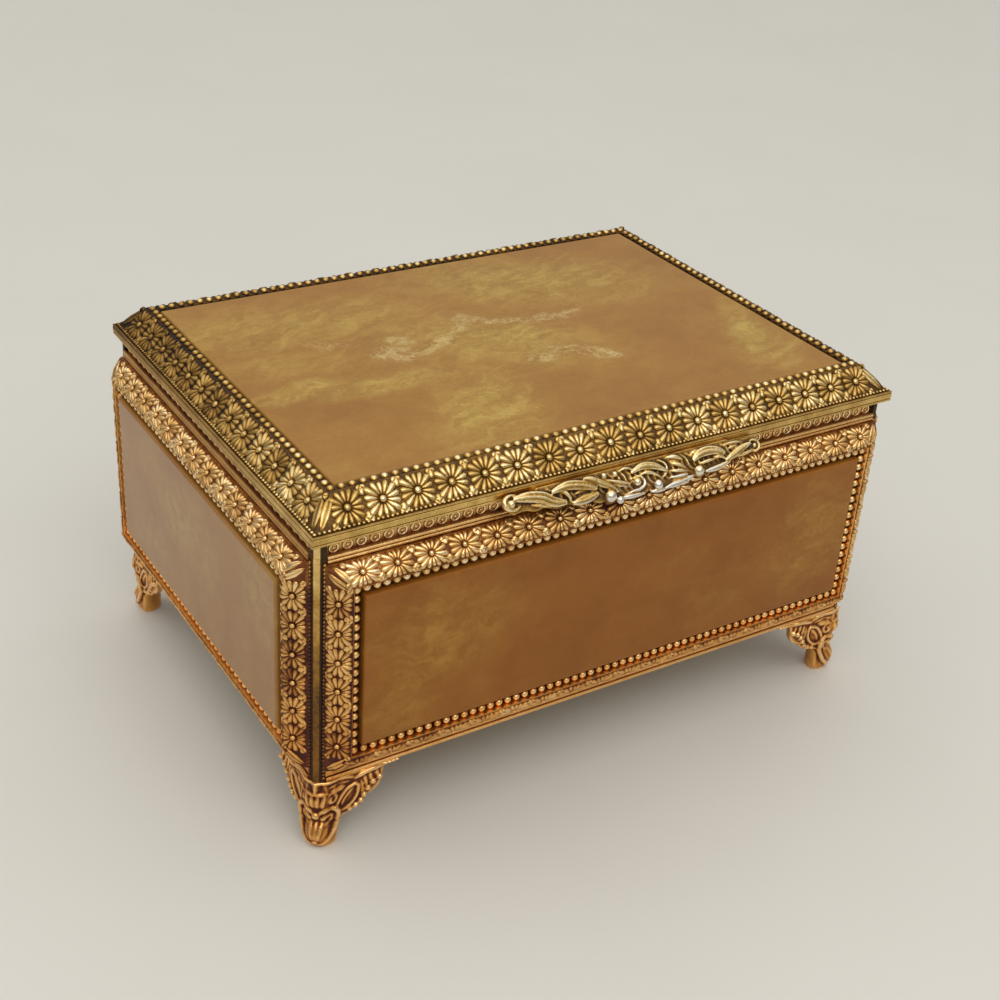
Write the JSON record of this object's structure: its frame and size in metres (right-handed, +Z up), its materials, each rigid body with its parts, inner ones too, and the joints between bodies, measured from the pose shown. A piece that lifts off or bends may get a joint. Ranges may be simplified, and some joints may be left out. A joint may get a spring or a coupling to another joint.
{
  "type": "trinket box",
  "caption": "Footed rectangular trinket box with polished stone panels in sloped gilt frames of beads and daisies, a hinged lid with a leaf thumb piece, and a velvet lining.",
  "frame": {"origin": "on the table, under the middle of the box", "axes": "+X to the right along the front, -Y out of the front, +Z up"},
  "size_m": [0.1212, 0.0905, 0.0656],
  "materials": {
    "gilt_casting": "gilt casting, dark patina in the hollows, rubbed bright on the high points",
    "onyx": "polished brown onyx with ochre clouds and pale veins",
    "velvet": "short-pile velvet over card",
    "brass": "plain brass sheet, lightly tarnished",
    "steel_pin": "drawn wire"
  },
  "bodies": {
    "box": {"front_frame": "gilt_casting", "back_frame": "gilt_casting", "left_frame": "gilt_casting", "right_frame": "gilt_casting", "front_stone": "onyx", "back_stone": "onyx", "left_stone": "onyx", "right_stone": "onyx", "corner_post_front_left": "gilt_casting", "corner_post_front_right": "gilt_casting", "corner_post_back_left": "gilt_casting", "corner_post_back_right": "gilt_casting", "foot_front_left": "gilt_casting", "foot_front_right": "gilt_casting", "foot_back_left": "gilt_casting", "foot_back_right": "gilt_casting", "base_tray": "brass", "foot_screws": "brass", "floor_lining": "velvet", "front_lining": "velvet", "back_lining": "velvet", "left_lining": "velvet", "right_lining": "velvet", "hinge_body_leaf_left": "brass", "hinge_body_leaf_right": "brass", "hinge_pin_left": "steel_pin", "hinge_pin_right": "steel_pin", "hinge_body_screws": "brass"},
    "lid": {"lid_frame": "gilt_casting", "lid_stone": "onyx", "thumb_piece": "gilt_casting", "lid_lining": "velvet", "hinge_lid_leaf_left": "brass", "hinge_lid_leaf_right": "brass", "hinge_lid_screws": "brass"}
  },
  "joints": [
    {"name": "lid_hinge", "type": "hinge", "parent": "box", "child": "lid", "pos_m": [0, 0.04025, 0.058], "axis": [-1, 0, 0], "range_deg": [0, 105]}
  ]
}
